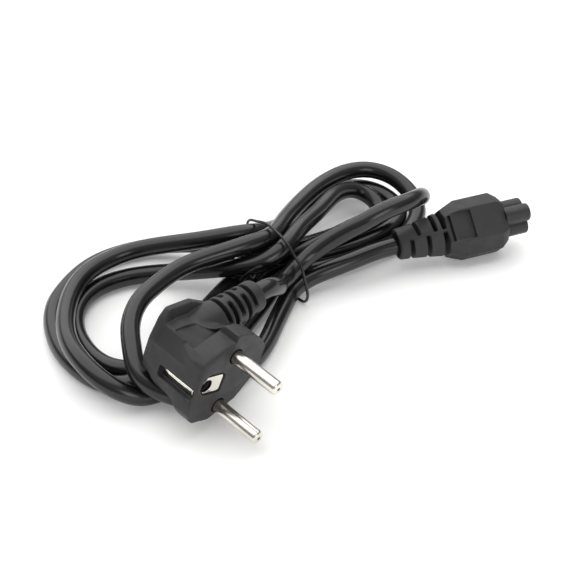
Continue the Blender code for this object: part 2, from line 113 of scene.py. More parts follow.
# The tie's way round the bundle, in millimetres: where its middle is, which way the bundle's front
# lies from there, and then its points, towards that front and up
TIE_PLACE = (-2.0, 0.0)
TIE_FRONT = (0.61, -0.79)
TIE_LOOP = [
    (0, 0.65), (12.2, 0.6), (15.6, 1.9), (17, 5.2), (16.4, 8.5), (14.7, 13), (12.8, 16.6), (9.2, 18.9),
    (4.8, 22), (0, 23.4), (-6, 24.2), (-9.8, 23.6), (-15.2, 21.4), (-19, 19.6), (-20.6, 16), (-19.8, 12),
    (-17.9, 7), (-17.4, 3.4), (-15.6, 0.9), (-12.5, 0.55),
]

# The tie's free end, curled beside the bundle, in millimetres
TIE_END = [
    (-11, -10.2, 15.6), (-13.6, -10.6, 14), (-15.4, -10.8, 12.2), (-16.4, -10.9, 10.4), (-15.4, -10.9, 8.8),
    (-13.4, -10.8, 9.4), (-12.4, -10.6, 11.2), (-12.9, -10.4, 13),
]


class LeadSizes(bpy.types.PropertyGroup):
    """Sizes of the lead that the visible pieces share."""

    cord: FloatProperty(name="Cord", description="Thickness of the sheath", default=0.0068, unit="LENGTH")
    length: FloatProperty(name="Cord length", description="From boot to plug", default=1.575, unit="LENGTH")
    tie: FloatProperty(name="Tie", description="Thickness of the coated wire", default=0.0011, unit="LENGTH")
    pin: FloatProperty(name="Pin", description="Thickness of a round pin", default=0.0048, unit="LENGTH")
    pin_length: FloatProperty(name="Pin length", description="Out of the face", default=0.019, unit="LENGTH")
    pin_spacing: FloatProperty(name="Pin spacing", description="Between axes", default=0.019, unit="LENGTH")


class LeadColours(bpy.types.PropertyGroup):
    """Colours of the lead's finishes and of the stage."""

    moulding: FloatVectorProperty(
        name="Moulding", description="Soft PVC of plug and connector", subtype="COLOR",
        default=(0.021, 0.021, 0.022),
    )
    sheath: FloatVectorProperty(
        name="Sheath", description="Cord's outer sheath", subtype="COLOR", default=(0.006, 0.006, 0.0063)
    )
    nickel: FloatVectorProperty(
        name="Nickel", description="Plating of pins and earth contacts", subtype="COLOR",
        default=(0.70, 0.67, 0.61),
    )
    tie: FloatVectorProperty(
        name="Tie", description="Coating of the wire tie", subtype="COLOR", default=(0.008, 0.008, 0.008)
    )
    floor: FloatVectorProperty(
        name="Floor", description="Paper that the lead lies on", subtype="COLOR", default=(0.92, 0.92, 0.915)
    )


def lead_axes(place, x, y, z):
    """Matrix from a piece's own axes in millimetres to the lead's in metres."""
    turn = Matrix((x, y, z)).transposed().to_4x4()
    return Matrix.Translation(Vector(place) + Vector(SET_DOWN)) @ turn @ Matrix.Scale(0.001, 4)


def plug_axes():
    z = Vector(PINS_POINT).normalized()
    x = Vector(PINS_LINE)
    x = (x - z * x.dot(z)).normalized()
    return lead_axes(PLUG_PLACE, x, z.cross(x), z)


def connector_axes():
    """X out of the boot, Y across the two upper lobes and Z out of the earth side."""
    turn = Matrix.Rotation(CONNECTOR_HEADING, 4, "Z") @ Matrix.Rotation(-CONNECTOR_PITCH, 4, "Y")
    turn = turn @ Matrix.Rotation(math.pi / 2 - CONNECTOR_ROLL, 4, "X")
    columns = [turn.col[k].to_3d() for k in range(3)]
    return lead_axes(CONNECTOR_PLACE, *columns)


def relief_axes():
    """Z along the strain relief to its cord end, and X towards the upper pin."""
    start, end = Vector(RELIEF_START), Vector(RELIEF_END)
    z = (end - start).normalized()
    x = (Vector((1, 0, 0)) - z * z.x).normalized()
    turn = Matrix((x, z.cross(x), z)).transposed().to_4x4()
    return Matrix.Translation(start) @ turn


# Solids in millimetres, in a piece's own axes

# Sides of a lofted solid, and the voxels that the mouldings are melted with
LOFT_SIDES = 144
BODY_VOXEL = 0.26
NOSE_VOXEL = 0.18
PLATE_VOXEL = 0.1


def block(low, high):
    bm = bmesh.new()
    size = [b - a for a, b in zip(low, high)]
    middle = [(a + b) / 2 for a, b in zip(low, high)]
    bmesh.ops.create_cube(bm, size=1.0, matrix=Matrix.Translation(middle) @ Matrix.Diagonal((*size, 1)))
    return bm


def turned(profile, steps=64):
    """A solid turned about Z from a profile of radius and height that starts and ends on the axis."""
    bm = bmesh.new()
    spots = [bm.verts.new((radius, 0, height)) for radius, height in profile]
    edges = [bm.edges.new(pair) for pair in zip(spots, spots[1:])]
    bmesh.ops.spin(
        bm, geom=spots + edges, cent=(0, 0, 0), axis=(0, 0, 1), angle=2 * math.pi, steps=steps,
        use_merge=True,
    )
    bmesh.ops.remove_doubles(bm, verts=bm.verts, dist=0.0001)
    bmesh.ops.recalc_face_normals(bm, faces=bm.faces)
    return bm


def bar(radius, low, high, centre=(0, 0)):
    """A round bar along Z."""
    bm = turned([(0, low), (radius, low), (radius, high), (0, high)], steps=48)
    bmesh.ops.translate(bm, verts=bm.verts, vec=(*centre, 0))
    return bm


def ring_slot(inner, outer, height, width, middle, span):
    """A slot's hollow round Z: from one radius to another, about a direction, over an angle."""
    bm = bmesh.new()
    start = math.radians(middle - span / 2)
    corners = [(inner, -width / 2), (outer, -width / 2), (outer, width / 2), (inner, width / 2)]
    spots = [bm.verts.new((r * math.cos(start), r * math.sin(start), height + h)) for r, h in corners]
    face = bm.faces.new(spots)
    steps = max(4, round(span / 8))
    bmesh.ops.spin(bm, geom=[face], cent=(0, 0, 0), axis=(0, 0, 1), angle=math.radians(span), steps=steps)
    bmesh.ops.recalc_face_normals(bm, faces=bm.faces)
    return bm


def prism(outline, low, high):
    bm = bmesh.new()
    base = bm.faces.new([bm.verts.new((x, y, low)) for x, y in outline])
    raised = bmesh.ops.extrude_face_region(bm, geom=[base])
    moved = [item for item in raised["geom"] if isinstance(item, bmesh.types.BMVert)]
    bmesh.ops.translate(bm, verts=moved, vec=(0, 0, high - low))
    bmesh.ops.recalc_face_normals(bm, faces=bm.faces)
    return bm


def reach(outline, angle):
    """How far an outline lies from its middle in one direction."""
    wx, wy = math.cos(angle), math.sin(angle)
    found = 0.0
    for (ax, ay), (bx, by) in zip(outline, outline[1:] + outline[:1]):
        a, b = wx * ay - wy * ax, wx * by - wy * bx
        if (a <= 0 < b) or (b <= 0 < a):
            share = a / (a - b)
            x, y = ax + share * (bx - ax), ay + share * (by - ay)
            if x * wx + y * wy > 0:
                found = max(found, math.hypot(x, y))
    return found


def around(outline):
    """Reach of an outline in every direction."""
    return lambda angle: reach(outline, angle)


def oval(high, wide):
    """Reach of an oval in every direction."""
    return lambda angle: 1 / math.hypot(math.cos(angle) / high, math.sin(angle) / wide)


def between(first, second, share):
    """Reach that has gone some share of the way from one outline to another."""
    return lambda angle: first(angle) * (1 - share) + second(angle) * share


def lofted(levels):
    """A solid over outlines stacked along Z, each given by its height and its reach."""
    bm = bmesh.new()
    last = None
    for height, reaches in levels:
        ring = bmesh.ops.create_circle(bm, cap_ends=False, radius=1.0, segments=LOFT_SIDES)["verts"]
        for vert in ring:
            angle = math.atan2(vert.co.y, vert.co.x)
            far = reaches(angle)
            vert.co = (far * math.cos(angle), far * math.sin(angle), height)
        edges = list({edge for vert in ring for edge in vert.link_edges})
        if last is None:
            bmesh.ops.contextual_create(bm, geom=edges)
        else:
            bmesh.ops.bridge_loops(bm, edges=last + edges)
        last = edges
    bmesh.ops.contextual_create(bm, geom=last)
    bmesh.ops.recalc_face_normals(bm, faces=bm.faces)
    return bm


def hulled(points):
    bm = bmesh.new()
    for point in points:
        bm.verts.new(point)
    made = bmesh.ops.convex_hull(bm, input=bm.verts)
    spare = {item for key in ("geom_interior", "geom_unused") for item in made[key]}
    bmesh.ops.delete(bm, geom=[v for v in spare if isinstance(v, bmesh.types.BMVert)], context="VERTS")
    bmesh.ops.recalc_face_normals(bm, faces=bm.faces)
    return bm


def placed(bm, matrix):
    bmesh.ops.transform(bm, matrix=matrix, verts=bm.verts)
    return bm


def work_object(bm):
    mesh = bpy.data.meshes.new("work")
    bm.to_mesh(mesh)
    bm.free()
    obj = bpy.data.objects.new("work", mesh)
    bpy.context.scene.collection.objects.link(obj)
    return obj


def finished(name, bm, place, material, slot, *nodes):
    """A piece of the lead: its place goes into its mesh, and it stands for its solids."""
    bmesh.ops.transform(bm, matrix=place, verts=bm.verts)
    mesh = bpy.data.meshes.new(name)
    bm.to_mesh(mesh)
    bm.free()
    mesh.materials.append(material)
    mesh.shade_smooth()
    obj = bpy.data.objects.new(name, mesh)
    bpy.context.scene.collection.objects.link(obj)
    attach(obj, "root")
    if nodes:
        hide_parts(*nodes)
    return obj


def soften(bm, verts, passes):
    for _ in range(passes):
        bmesh.ops.smooth_vert(
            bm, verts=verts, factor=0.5, use_axis_x=True, use_axis_y=True, use_axis_z=True
        )


def moulded(solids, cuts, voxel, passes, zones=()):
    """The solids melted into one moulding and hollowed by the cuts, with edges as soft as a mould's."""
    body = work_object(solids[0])
    spare = [body]
    for operation, tools in (("UNION", solids[1:]), ("DIFFERENCE", cuts)):
        for tool in tools:
            other = work_object(tool)
            spare.append(other)
            modifier = body.modifiers.new(operation, "BOOLEAN")
            modifier.operation = operation
            modifier.solver = "EXACT"
            modifier.object = other
    melt = body.modifiers.new("Melt", "REMESH")
    melt.mode = "VOXEL"
    melt.voxel_size = voxel
    bpy.context.view_layer.update()
    shape = bpy.data.meshes.new_from_object(body.evaluated_get(bpy.context.evaluated_depsgraph_get()))
    bm = bmesh.new()
    bm.from_mesh(shape)
    bpy.data.meshes.remove(shape)
    for obj in spare:
        bpy.data.objects.remove(obj, do_unlink=True)
    for low, high, count in zones:
        near = [v for v in bm.verts if all(low[k] <= v.co[k] <= high[k] for k in range(3))]
        soften(bm, near, count)
    soften(bm, bm.verts, passes)
    return bm


# Finishes

# Most of a noise lies between these values: the first pair spreads it over a range, the second over tones
NOISE_RANGE = (0.3, 0.7)
NOISE_TONES = (0.35, 0.65)

# Depth of the moulds' grain in metres, and how dark the sunk label field's colour is painted next to the
# rest, as painted shade
GRAIN_DEPTH = 0.00006
LABEL_SHADE_TONE = 0.3


def new_finish(name, colour, roughness, metallic=0.0):
    material = bpy.data.materials.get(name) or bpy.data.materials.new(name)
    material.use_nodes = True
    tree = material.node_tree
    shader = tree.nodes["Principled BSDF"]
    shader.inputs["Base Color"].default_value = (*colour, 1.0)
    shader.inputs["Roughness"].default_value = roughness
    shader.inputs["Metallic"].default_value = metallic
    return tree, shader, material


def noise(tree, scale, detail):
    """Noise over the lead in metres."""
    place = tree.nodes.new("ShaderNodeTexCoord")
    pattern = tree.nodes.new("ShaderNodeTexNoise")
    pattern.inputs["Scale"].default_value = scale
    pattern.inputs["Detail"].default_value = detail
    tree.links.new(place.outputs["Object"], pattern.inputs["Vector"])
    return pattern.outputs["Fac"]


def spread(tree, value, low, high):
    """A pattern's value brought into a range."""
    node = tree.nodes.new("ShaderNodeMapRange")
    node.inputs["From Min"].default_value, node.inputs["From Max"].default_value = NOISE_RANGE
    node.inputs["To Min"].default_value = low
    node.inputs["To Max"].default_value = high
    tree.links.new(value, node.inputs["Value"])
    return node.outputs["Result"]


def shades(tree, value, dark, light):
    """A pattern's value turned into a colour between a dark and a light one."""
    node = tree.nodes.new("ShaderNodeValToRGB")
    for stop, position, colour in zip(node.color_ramp.elements, NOISE_TONES, (dark, light)):
        stop.position = position
        stop.color = (*colour, 1)
    tree.links.new(value, node.inputs["Fac"])
    return node.outputs["Color"]


def relief_of(tree, shader, *heights):
    """Fine relief on the surface from patterns, each given with its strength and depth in metres."""
    normal = None
    for value, strength, depth in heights:
        bump = tree.nodes.new("ShaderNodeBump")
        bump.inputs["Strength"].default_value = strength
        bump.inputs["Distance"].default_value = depth
        tree.links.new(value, bump.inputs["Height"])
        if normal:
            tree.links.new(normal, bump.inputs["Normal"])
        normal = bump.outputs["Normal"]
    tree.links.new(normal, shader.inputs["Normal"])


def tinted(colour, factor):
    return tuple(min(1.0, channel * factor) for channel in colour)


def moulding_finish(name, colour, grain=2600, rough=0.52):
    """Soft PVC from a spark-eroded mould: a fine even grain, a little scuffed, with painted shade darkening
    the sunk label field.
    """
    tree, shader, material = new_finish(name, colour, rough)
    shader.inputs["Specular IOR Level"].default_value = 0.42
    mottle = shades(tree, noise(tree, 90, 4), tinted(colour, 0.86), tinted(colour, 1.14))
    # Painted shade: where the sunk label field is marked, the colour is darkened to the label shade tone
    mark = tree.nodes.new("ShaderNodeAttribute")
    mark.attribute_name = "painted_label_shade"
    blend = tree.nodes.new("ShaderNodeMix")
    blend.data_type = "RGBA"
    blend.inputs["B"].default_value = (*tinted(colour, LABEL_SHADE_TONE), 1)
    tree.links.new(mark.outputs["Fac"], blend.inputs["Factor"])
    tree.links.new(mottle, blend.inputs["A"])
    tree.links.new(blend.outputs["Result"], shader.inputs["Base Color"])
    tree.links.new(spread(tree, noise(tree, 260, 3), rough - 0.06, rough + 0.08), shader.inputs["Roughness"])
    fine, coarse = noise(tree, grain, 2), noise(tree, 700, 2)
    relief_of(tree, shader, (fine, 0.5, GRAIN_DEPTH), (coarse, 0.2, GRAIN_DEPTH))
    return material


def sheath_finish(name, colour):
    """Extruded PVC sheath: smoother than the mouldings, with faint waves and handling marks."""
    tree, shader, material = new_finish(name, colour, 0.23)
    shader.inputs["Specular IOR Level"].default_value = 0.5
    mottle = shades(tree, noise(tree, 60, 3), tinted(colour, 0.85), tinted(colour, 1.18))
    tree.links.new(mottle, shader.inputs["Base Color"])
    tree.links.new(spread(tree, noise(tree, 180, 4), 0.20, 0.27), shader.inputs["Roughness"])
    relief_of(tree, shader, (noise(tree, 1500, 2), 0.10, 0.00002), (noise(tree, 150, 2), 0.10, 0.0001))
    return material


def nickel_finish(name, colour, rough=0.2):
    """Bright nickel plate over turned brass, warm where it is thin."""
    tree, shader, material = new_finish(name, colour, rough, 1.0)
    tone = shades(tree, noise(tree, 140, 4), tinted(colour, 0.9), tinted(colour, 1.06))
    tree.links.new(tone, shader.inputs["Base Color"])
    tree.links.new(spread(tree, noise(tree, 700, 4), rough - 0.03, rough + 0.04), shader.inputs["Roughness"])
    relief_of(tree, shader, (noise(tree, 3200, 2), 0.05, 0.00001))
    return material


# Cord

def smooth_curve(points, steps):
    """A natural cubic spline through the points, read at the given number of places per span."""
    points = np.array(points, float)
    spans = np.sqrt(np.linalg.norm(np.diff(points, axis=0), axis=1))
    count = len(points)
    system = np.eye(count)
    target = np.zeros((count, 3))
    for k in range(1, count - 1):
        before, after = spans[k - 1], spans[k]
        system[k, k - 1 : k + 2] = before, 2 * (before + after), after
        rise = (points[k + 1] - points[k]) / after - (points[k] - points[k - 1]) / before
        target[k] = 6 * rise
    bends = np.linalg.solve(system, target)
    line = []
    for k in range(count - 1):
        span = spans[k]
        for share in np.arange(steps) / steps:
            a, b = 1 - share, share
            line.append(
                a * points[k]
                + b * points[k + 1]
                + ((a**3 - a) * bends[k] + (b**3 - b) * bends[k + 1]) * span**2 / 6
            )
    line.append(points[-1])
    return np.array(line)


def laid(points, steps):
    """A smooth line through points in millimetres, in metres and where the lead is set down."""
    return smooth_curve(points, steps) * 0.001 + np.array(SET_DOWN)


def curve_piece(name, points, diameter, material, closed=False, rings=6):
    """A round line through points in metres."""
    curve = bpy.data.curves.new(name, "CURVE")
    curve.dimensions = "3D"
    curve.bevel_depth = diameter / 2
    curve.bevel_resolution = rings
    curve.use_fill_caps = not closed
    spline = curve.splines.new("POLY")
    spline.points.add(len(points) - 1)
    for spot, point in zip(spline.points, points):
        spot.co = (*point, 1.0)
    spline.use_cyclic_u = closed
    spline.use_smooth = True
    curve.materials.append(material)
    obj = bpy.data.objects.new(name, curve)
    bpy.context.scene.collection.objects.link(obj)
    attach(obj, "root")
    return obj


class LEAD_OT_camera(bpy.types.Operator):
    """Place the camera that looks down on the lead from the front"""

    bl_idname = "lead.camera"
    bl_label = "Camera"

    def execute(self, context):
        data = bpy.data.cameras.new("view")
        data.lens = CAMERA_LENS_MM
        data.sensor_width = 36.0
        camera = bpy.data.objects.new("view", data)
        context.scene.collection.objects.link(camera)
        camera.location = (SET_DOWN[0], SET_DOWN[1] - CAMERA_BACK, CAMERA_HEIGHT)
        camera.rotation_euler = (CAMERA_TURN, 0, 0)
        data.clip_start, data.clip_end = 0.01, 10
        context.scene.camera = camera
        return {"FINISHED"}


class LEAD_OT_cord(bpy.types.Operator):
    """Lay the cord from the connector's boot to the plug's strain relief"""

    bl_idname = "lead.cord"
    bl_label = "Cord"

    def execute(self, context):
        sizes, colours = context.scene.lead_sizes, context.scene.lead_colours
        line = laid(ROUTE, 10)
        material = sheath_finish("cord sheath", colours.sheath)
        cord = curve_piece("flex", line, sizes.cord, material, rings=7)
        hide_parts("cord")
        return {"FINISHED"}


# The plug's outlines in millimetres, across its own axis: along the pins' line and towards the near clip
FACE_FLATS = [(90, 14.1), (-90, 14.1), (180, 14.4), (-125, 11.2), (-150, 11.2)]
FACE_RADIUS = 17.7
WAIST_TOP = [
    (3.4, 14.15), (4.1, 14.4), (4.8, 14.0), (10.7, 12.3), (12.3, 8.0), (13.1, 3.0), (13.5, -3.0),
    (12.2, -8.1), (6.0, -13.0), (-3.7, -13.0), (-8.9, -8.5),
]
WAIST_BACK = [(-9.3, 9.4), (-6.6, 12.8), (-3.0, 14.1), *WAIST_TOP]
WAIST_FRONT = [(-11.6, 10.4), (-8.6, 13.2), (-4.6, 14.1), *WAIST_TOP]
GRIP = [
    (-9.2, 9.4), (-6.6, 12.7), (-3.0, 14.1), (4.1, 14.4), (11.9, 13.0), (15.4, 11.2), (17.0, 1.5),
    (14.9, -6.2), (9.5, -12.7), (-3.7, -12.7), (-8.95, -8.2),
]

# How much smaller the shell and the finger ridge are at their very back
SHELL_PINCH = 0.985
RIDGE_PINCH = 0.97

# How far the waist has flared out to the face's outline, by distance behind the face
FLARE = ((-12.0, 0.06), (-10.5, 0.20), (-9.2, 0.42), (-8.0, 0.68), (-7.0, 0.88), (-6.2, 1.0), (0.0, 1.0))

# Notches beside the face that guide the plug into its socket
NEAR_NOTCH = [(14.9, 2.4), (19, 2.4), (19, 17), (7.2, 17), (7.2, 14.2), (9.8, 12.2), (12.0, 8.4)]
FAR_NOTCH = [(-13.3, -2.4), (-19, -2.4), (-19, -17), (-7.6, -17), (-10.5, -12.6), (-12.1, -8.4)]

# Recesses of the side contacts: along the pins' line, outwards from the axis, and behind the face
CLIP_RECESS_WIDTH = (-5.6, -1.5)
CLIP_RECESS_DEPTH = (11.9, 18)
CLIP_RECESS_LENGTH = (-17.0, -1.3)

# The side contacts' strips: how far out they lie, their thickness, their fold across the strip and their
# bow along the plug, each with how far outwards it goes
CLIP_PLACE = 12.5
CLIP_THICKNESS = 0.35
CLIP_FOLD = ((-1.65, 0.0), (-2.45, 0.6), (-3.0, 0.4), (-5.0, -0.5))
CLIP_BOW = ((-16.4, -0.2), (-13, 0.1), (-9.5, 0.2), (-6, 0.1), (-3.2, 0.0), (-2.2, 0.25), (-1.8, 0.6))

# How round the pins' tips are, how far they reach back into the body, the bore that they come out of
# and the gap round them
TIP_ROUNDING = 1.0
PIN_ROOT = 8.0
BORE_DEPTH = 8.4
PIN_GAP = 0.35

# The earth plate in the face: how deep its two sides lie, its recess, and the hole for the earth pin
PLATE_BACK, PLATE_FRONT = -1.4, -0.5
PLATE_RECESS = -1.7
PLATE_GAP = 0.4
EARTH_HOLE_RADIUS = 2.3
EARTH_HOLE_PLACE = (-0.2, 9.2)

# The sunk field on the plug's top, whose colour is darkened there and close round it as painted shade
LABEL_CORNERS = ((11.0, 12.0, -17.6), (13.1, 4.3, -16.2), (13.3, 1.3, -8.4), (9.4, 11.9, -8.3))
LABEL_DEPTH = 0.5
LABEL_SHADE_MARGIN = 0.12

# The strain relief's rings of slots: how many, where the first one is and how far apart they are. A
# slot is given by the radius of its floor, a radius past the outside, and its degrees round the axis
RELIEF_RINGS = 5
FIRST_RING = 13.0
RING_STEP = 3.1
RELIEF_SLOT = (3.4, 9.0, 154)
SLOT_WIDTH = 1.6

# Boxes where one surface runs softly into the next, each with its passes of smoothing
SOFT_ZONES = (
    ((-13, 11.5, -4), (3, 15, 1), 50),
    ((3, 3.2, -4.5), (15, 15, 1), 90),
    ((-16, 6, -3), (-9, 15, 1), 12),
)


def face_reach(angle):
    far = FACE_RADIUS
    for direction, distance in FACE_FLATS:
        lean = math.cos(angle - math.radians(direction))
        if lean > 0.01:
            far = min(far, distance / lean)
    return far


def plug_solids():
    """The plug's shell, from its back to its face, and the finger ridge round its back."""
    back, front, grip = around(WAIST_BACK), around(WAIST_FRONT), around(GRIP)
    shell = [
        (-24.9, lambda angle: SHELL_PINCH * back(angle)), (-24.5, back), (-19.5, between(back, front, 0.9)),
        (-14.0, front), *((height, between(front, face_reach, share)) for height, share in FLARE),
    ]
    ridge = [
        (-25.0, lambda angle: RIDGE_PINCH * grip(angle)), (-24.5, grip), (-22.4, grip),
        (-21.6, between(grip, back, 0.8)),
    ]
    return [lofted(shell), lofted(ridge)]


def relief_sleeve():
    """The strain relief's tapered sleeve, with a socket for the cord in its end."""
    length = (Vector(RELIEF_END) - Vector(RELIEF_START)).length
    profile = [
        (0, 0), (7.3, 0), (7.2, 8.0), (6.9, 12.0), (5.7, length - 0.9), (5.4, length - 0.25),
        (4.9, length), (3.75, length), (3.75, length - 2.5), (0, length - 2.5),
    ]
    return placed(turned(profile), relief_axes())


def relief_slots():
    """Slots that let the relief bend, two to a ring, each ring a quarter turn from the last."""
    made = []
    inner, outer, span = RELIEF_SLOT
    for k in range(RELIEF_RINGS):
        height = FIRST_RING + RING_STEP * k
        for side in (0, 180):
            middle = side + (90 if k % 2 else 0)
            slot = ring_slot(inner, outer, height, SLOT_WIDTH, middle, span)
            made.append(placed(slot, relief_axes()))
    return made


class LEAD_OT_plug(bpy.types.Operator):
    """Mould the plug's body with its collar, finger ridge, recesses and strain relief"""

    bl_idname = "lead.plug"
    bl_label = "Plug body"

    def execute(self, context):
        sizes, colours = context.scene.lead_sizes, context.scene.lead_colours
        cuts = [prism(NEAR_NOTCH, -12, 1), prism(FAR_NOTCH, -7, 1)]
        for side in (1, -1):
            reaches = sorted(side * depth for depth in CLIP_RECESS_DEPTH)
            cuts.append(block(*zip(CLIP_RECESS_WIDTH, reaches, CLIP_RECESS_LENGTH)))
        half_spacing, bore = sizes.pin_spacing / 2 * MM, sizes.pin / 2 * MM + PIN_GAP
        cuts += [bar(bore, -BORE_DEPTH, 2, (side * half_spacing, 0)) for side in (1, -1)]
        cuts.append(prism(earth_plate_outline(PLATE_GAP), PLATE_RECESS, 2))
        cuts.append(bar(EARTH_HOLE_RADIUS, -16, 2, EARTH_HOLE_PLACE))
        cuts.append(label_recess())
        cuts += relief_slots()
        body = moulded(plug_solids() + [relief_sleeve()], cuts, BODY_VOXEL, 2, SOFT_ZONES)
        # Marks the sunk label field, whose colour is darkened as painted shade
        painted_label_shade(body, label_recess())
        material = moulding_finish("plug moulding", colours.moulding)
        finished("plug_moulding", body, plug_axes(), material, "black_pvc", "plug_body")
        return {"FINISHED"}


def painted_label_shade(bm, hollow):
    """Marks what lies in or close to a hollow, where the moulding's colour is darkened as painted shade."""
    value = bm.verts.layers.float.new("painted_label_shade")
    sides = [(face.normal.copy(), face.verts[0].co.copy()) for face in hollow.faces]
    for vert in bm.verts:
        vert[value] = float(all((vert.co - spot).dot(normal) < LABEL_SHADE_MARGIN for normal, spot in sides))
    hollow.free()


def label_recess():
    """The hollow that sinks the label field into the plug's top."""
    corners = [Vector(corner) for corner in LABEL_CORNERS]
    normal = (corners[1] - corners[0]).cross(corners[3] - corners[0]).normalized()
    if normal.x < 0:
        normal.negate()
    return hulled([c + normal * shift for c in corners for shift in (-LABEL_DEPTH, 3.0)])


def earth_plate_outline(margin):
    """The earth plate, longer than wide, with large cut corners outwards and small ones inwards."""
    wide, low, high = 3.1 + margin, 2.4 - margin, 11.2 + margin
    large, small = 1.6, 0.5
    return [
        (wide, low + small), (wide, high - large), (wide - large, high), (large - wide, high),
        (-wide, high - large), (-wide, low + small), (small - wide, low), (wide - small, low),
    ]


class LEAD_OT_pins(bpy.types.Operator):
    """Turn the two round pins with their rounded, dimpled tips"""

    bl_idname = "lead.pins"
    bl_label = "Pins"

    def execute(self, context):
        sizes, colours = context.scene.lead_sizes, context.scene.lead_colours
        radius, length = sizes.pin / 2 * MM, sizes.pin_length * MM
        tip = [
            (radius - TIP_ROUNDING * (1 - math.cos(t)), length - TIP_ROUNDING * (1 - math.sin(t)))
            for t in (math.pi / 2 * k / 10 for k in range(11))
        ]
        dimple = [(0.6, length), (0.5, length - 1.0), (0, length - 1.2)]
        profile = [(0, -PIN_ROOT), (radius, -PIN_ROOT), (radius, 2), *tip, *dimple]
        material = nickel_finish("nickel plate", colours.nickel)
        for side, name, node in ((1, "upper_pin", "pin_upper"), (-1, "lower_pin", "pin_lower")):
            pin = turned(profile)
            bmesh.ops.translate(pin, verts=pin.verts, vec=(side * sizes.pin_spacing / 2 * MM, 0, 0))
            obj = finished(name, pin, plug_axes(), material, "nickel_plate", node)
            obj.data.set_sharp_from_angle(angle=math.radians(40))
        return {"FINISHED"}


class LEAD_OT_earth(bpy.types.Operator):
    """Bend the earth contacts of the plug's sides and plate the one in its face"""

    bl_idname = "lead.earth"
    bl_label = "Earth contacts"

    def execute(self, context):
        # The earth contacts get a lighter copy of the nickel: painted brightness standing for the stronger
        # reflection they show, while their lower roughness is real
        painted_bright_nickel = tinted(context.scene.lead_colours.nickel, 1.2)
        material = nickel_finish("earth contact nickel", painted_bright_nickel, 0.13)
        blank = prism(earth_plate_outline(0), PLATE_BACK, PLATE_FRONT)
        plate = moulded([blank], [bar(EARTH_HOLE_RADIUS, -3, 2, EARTH_HOLE_PLACE)], PLATE_VOXEL, 1)
        finished("face_plate", plate, plug_axes(), material, "nickel_plate", "earth_plate")
        for side, name, node in ((1, "near_clip", "earth_clip_near"), (-1, "far_clip", "earth_clip_far")):
            finished(name, spring_strip(side), plug_axes(), material, "nickel_plate", node)
        return {"FINISHED"}


def spring_strip(side):
    """A contact strip: folded along its length, bowed outwards, with its front end turned up."""
    bm = bmesh.new()
    rows = []
    for along, rise in CLIP_BOW:
        spots = [(across, side * (CLIP_PLACE + rise + lift), along) for across, lift in CLIP_FOLD]
        rows.append([bm.verts.new(spot) for spot in spots])
    for row, following in zip(rows, rows[1:]):
        for k in range(len(CLIP_FOLD) - 1):
            bm.faces.new((row[k], row[k + 1], following[k + 1], following[k]))
    bmesh.ops.recalc_face_normals(bm, faces=bm.faces)
    bmesh.ops.solidify(bm, geom=bm.faces[:], thickness=CLIP_THICKNESS)
    bmesh.ops.recalc_face_normals(bm, faces=bm.faces)
    bmesh.ops.bevel(
        bm, geom=bm.edges[:], offset=0.06, segments=1, profile=0.5, affect="EDGES", material=-1,
        offset_type="OFFSET", clamp_overlap=True,
    )
    return bm


# The connector's boot in millimetres: how far along it is, and half its thickness and width there
BOOT_OVALS = (
    (0.0, 5.0, 5.7), (0.5, 5.4, 6.1), (4.0, 5.6, 6.4), (12.0, 6.3, 7.6), (19.0, 7.0, 8.8), (24.0, 7.4, 9.6),
)

# The boot's slots: how far along and on which side each one is, and their floor, outside and span
BOOT_SLOTS = ((4.6, -90), (7.9, 90), (11.2, -90), (14.6, 90), (18.1, -90), (18.1, 90))
BOOT_SLOT = (3.0, 11.0, 172)

# The connector's body in millimetres: its width and thickness, the shares of the thickness that are
# above and below its axis, and where it starts, is full and ends
BODY_SIZE = (22.6, 15.5)
BODY_REAR_SIZE = (17.4, 13.8)
TOP_SHARE, BELOW_SHARE = 0.52, 0.48
BODY_REAR, BODY_FULL, BODY_FRONT = 19.0, (25.6, 40.4), 43.6

# How much of the full width and thickness is left at the body's front, half the width of its narrow
# earth side, its chamfer, and the radius and depth of the socket for the cord in the boot's end
FRONT_TAPER = (0.78, 0.95)
EARTH_SIDE = 6.4
BODY_CHAMFER = 2.8
SOCKET_RADIUS, SOCKET_DEPTH = 4.5, 3.0

# The sunk panel on the connector's top, deeper towards the nose, and the groove behind it
PANEL_ALONG = (21.0, 29.6)
PANEL_DEPTHS = (0.9, 1.6)
PANEL_HALF_WIDTH = 5.6
GROOVE_ALONG = (20.2, 21.4)
GROOVE_DEPTH = 2.6
GROOVE_HALF_WIDTH = 5.2

# The nose's lobes: their middles across the axis, the profile of one along it, and the radius and floor
# of its contact hole
LOBE_PLACES = ((3.7, 0.0), (-3.7, 0.0), (0.0, 5.4))
LOBE_PROFILE = ((0, 43.0), (3.5, 43.0), (3.5, 52.8), (3.3, 53.15), (3.0, 53.3), (0, 53.3))
HOLE_RADIUS, HOLE_FLOOR = 1.25, 46.3


